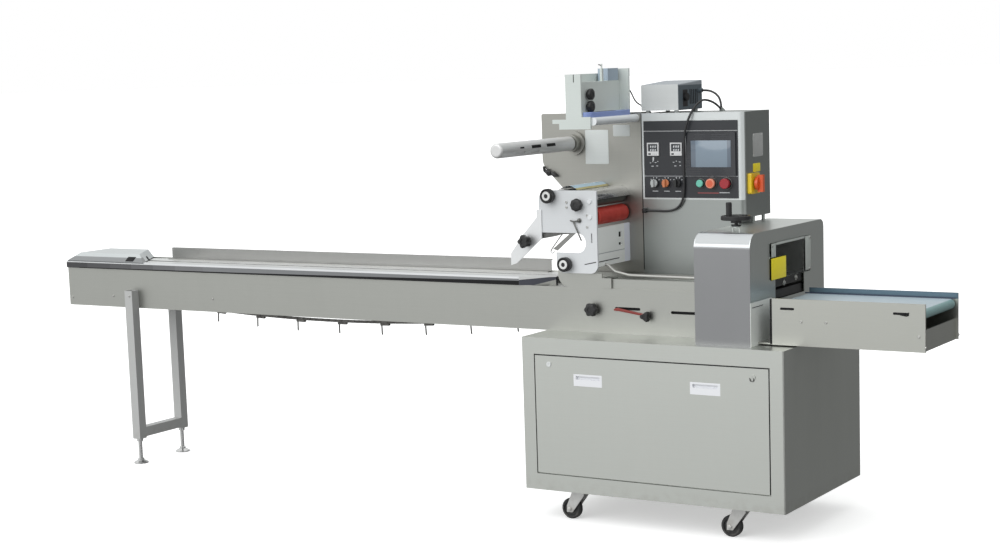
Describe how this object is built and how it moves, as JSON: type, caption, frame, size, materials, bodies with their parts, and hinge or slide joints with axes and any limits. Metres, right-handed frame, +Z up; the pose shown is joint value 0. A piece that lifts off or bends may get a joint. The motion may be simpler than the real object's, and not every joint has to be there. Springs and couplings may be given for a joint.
{
  "type": "horizontal flow wrapper",
  "caption": "Pillow-pack flow wrapping machine with a long pusher-chain infeed, film tower, end-seal housing, outfeed belt and a steel cabinet on castors.",
  "frame": {"origin": "centre of the bounding box at floor level", "axes": "+X along the product flow towards the outfeed, +Y away from the operator, +Z up"},
  "size_m": [3.837, 0.803, 1.6],
  "materials": {
    "steel": "satin brushed stainless sheet",
    "bright_steel": "bright plated or polished steel",
    "white_paint": "smooth white paint",
    "dark_panel": "charcoal matt face plate",
    "black_plastic": "black moulded knob plastic",
    "screen": "dark display bezel",
    "red_rubber": "red silicone rubber",
    "grey_rubber": "dark grey rubber",
    "belt": "blue-green conveyor belt",
    "clear": "clear acrylic guard",
    "yellow": "yellow switch base",
    "red_handle": "orange-red plastic",
    "green": "green push button",
    "dark_red": "dark red mushroom",
    "grey_plastic": "grey selector knob",
    "copper": "orange selector knob",
    "cable": "black cable sheath",
    "grey_case": "grey painted case",
    "chain_steel": "oiled dark chain steel",
    "castor_rubber": "black castor tread",
    "castor_steel": "zinc-plated pressed fork"
  },
  "bodies": {
    "machine": {"base_cabinet": "steel", "service_panel": "steel", "castor_plates": "castor_steel", "line_frame": "steel", "infeed_bed": "steel", "front_rail": "steel", "rear_guide": "steel", "end_hood": "steel", "chain_loop": "chain_steel", "chain_sprockets": "chain_steel", "leg_frame": "steel", "levelling_feet": "bright_steel", "bed_deck": "steel", "former_cheek": "steel", "tower_plate": "steel", "feed_bracket": "white_paint", "cross_plate": "white_paint", "film_guide": "bright_steel", "guide_arms": "bright_steel", "seal_housing": "steel", "seal_guard": "clear", "seal_jaws": "black_plastic", "outfeed_sides": "steel", "outfeed_floor": "steel", "outfeed_belt": "belt", "outfeed_rollers": "bright_steel", "control_cabinet": "steel", "control_panel": "dark_panel", "panel_displays": "screen", "switch_base": "yellow", "coder_bar": "bright_steel", "coder_frame": "white_paint", "coder_head": "white_paint", "coder_controller": "grey_case", "black_knobs": "black_plastic", "front_cable": "cable", "loop_cable": "cable", "coder_cable": "cable"},
    "castor_fl": {"castor_fork_fl": "castor_steel"},
    "wheel_fl": {"castor_wheel_fl": "castor_rubber"},
    "castor_fr": {"castor_fork_fr": "castor_steel"},
    "wheel_fr": {"castor_wheel_fr": "castor_rubber"},
    "castor_rl": {"castor_fork_rl": "castor_steel"},
    "wheel_rl": {"castor_wheel_rl": "castor_rubber"},
    "castor_rr": {"castor_fork_rr": "castor_steel"},
    "wheel_rr": {"castor_wheel_rr": "castor_rubber"},
    "film_mandrel": {"film_mandrel": "bright_steel"},
    "feed_roller": {"feed_roller": "red_rubber"},
    "nip_roller": {"nip_roller": "grey_rubber"},
    "upper_guide_roller": {"upper_guide_roller": "black_plastic"},
    "lower_guide_roller": {"lower_guide_roller": "black_plastic"},
    "handwheel": {"handwheel": "black_plastic"},
    "switch_handle": {"switch_handle": "red_handle"},
    "selector_a": {"selector_a": "grey_plastic"},
    "selector_b": {"selector_b": "copper"},
    "selector_c": {"selector_c": "black_plastic"},
    "start_button": {"start_button": "green"},
    "stop_button": {"stop_button": "red_handle"},
    "e_stop": {"e_stop": "dark_red"}
  },
  "joints": [
    {"name": "castor_swivel_fl", "type": "hinge", "parent": "machine", "child": "castor_fl", "pos_m": [0.6615, -0.2035, 0.098], "axis": [0, 0, 1], "continuous": true},
    {"name": "castor_roll_fl", "type": "hinge", "parent": "castor_fl", "child": "wheel_fl", "pos_m": [0.6265, -0.2035, 0.0375], "axis": [0, 1, 0], "continuous": true},
    {"name": "castor_swivel_fr", "type": "hinge", "parent": "machine", "child": "castor_fr", "pos_m": [1.2855, -0.2035, 0.098], "axis": [0, 0, 1], "continuous": true},
    {"name": "castor_roll_fr", "type": "hinge", "parent": "castor_fr", "child": "wheel_fr", "pos_m": [1.2505, -0.2035, 0.0375], "axis": [0, 1, 0], "continuous": true},
    {"name": "castor_swivel_rl", "type": "hinge", "parent": "machine", "child": "castor_rl", "pos_m": [0.6615, 0.3365, 0.098], "axis": [0, 0, 1], "continuous": true},
    {"name": "castor_roll_rl", "type": "hinge", "parent": "castor_rl", "child": "wheel_rl", "pos_m": [0.6265, 0.3365, 0.0375], "axis": [0, 1, 0], "continuous": true},
    {"name": "castor_swivel_rr", "type": "hinge", "parent": "machine", "child": "castor_rr", "pos_m": [1.2855, 0.3365, 0.098], "axis": [0, 0, 1], "continuous": true},
    {"name": "castor_roll_rr", "type": "hinge", "parent": "castor_rr", "child": "wheel_rr", "pos_m": [1.2505, 0.3365, 0.0375], "axis": [0, 1, 0], "continuous": true},
    {"name": "film_mandrel_spin", "type": "hinge", "parent": "machine", "child": "film_mandrel", "pos_m": [0.4765, 0.0215, 1.316], "axis": [0, 1, 0], "continuous": true},
    {"name": "feed_roller_spin", "type": "hinge", "parent": "machine", "child": "feed_roller", "pos_m": [0.6685, 0.0215, 1.066], "axis": [0, 1, 0], "continuous": true},
    {"name": "nip_roller_spin", "type": "hinge", "parent": "machine", "child": "nip_roller", "pos_m": [0.6685, 0.0215, 1.122], "axis": [0, 1, 0], "continuous": true},
    {"name": "upper_guide_roller_spin", "type": "hinge", "parent": "machine", "child": "upper_guide_roller", "pos_m": [0.5075, 0.0215, 1.141], "axis": [0, 1, 0], "continuous": true},
    {"name": "lower_guide_roller_spin", "type": "hinge", "parent": "machine", "child": "lower_guide_roller", "pos_m": [0.5705, 0.0215, 0.898], "axis": [0, 1, 0], "continuous": true},
    {"name": "handwheel_turn", "type": "hinge", "parent": "machine", "child": "handwheel", "pos_m": [1.2525, -0.1405, 1.06], "axis": [0, 0, 1], "continuous": true},
    {"name": "main_switch_turn", "type": "hinge", "parent": "machine", "child": "switch_handle", "pos_m": [1.1555, 0.2025, 1.168], "axis": [1, 0, 0], "range_deg": [0, 90]},
    {"name": "selector_a_turn", "type": "hinge", "parent": "machine", "child": "selector_a", "pos_m": [0.8055, 0.1445, 1.171], "axis": [0, 1, 0], "range_deg": [-45, 45]},
    {"name": "selector_b_turn", "type": "hinge", "parent": "machine", "child": "selector_b", "pos_m": [0.8515, 0.1445, 1.171], "axis": [0, 1, 0], "range_deg": [-45, 45]},
    {"name": "selector_c_turn", "type": "hinge", "parent": "machine", "child": "selector_c", "pos_m": [0.8965, 0.1445, 1.171], "axis": [0, 1, 0], "range_deg": [-45, 45]},
    {"name": "start_button_press", "type": "slide", "parent": "machine", "child": "start_button", "axis": [0, 1, 0], "range_m": [0, 0.004], "stiffness_N_per_m": 600},
    {"name": "stop_button_press", "type": "slide", "parent": "machine", "child": "stop_button", "axis": [0, 1, 0], "range_m": [0, 0.004], "stiffness_N_per_m": 600},
    {"name": "e_stop_press", "type": "slide", "parent": "machine", "child": "e_stop", "axis": [0, 1, 0], "range_m": [0, 0.004]}
  ],
  "couplings": [
    {"joint": "nip_roller_spin", "follows": "feed_roller_spin", "ratio": -1.55}
  ]
}
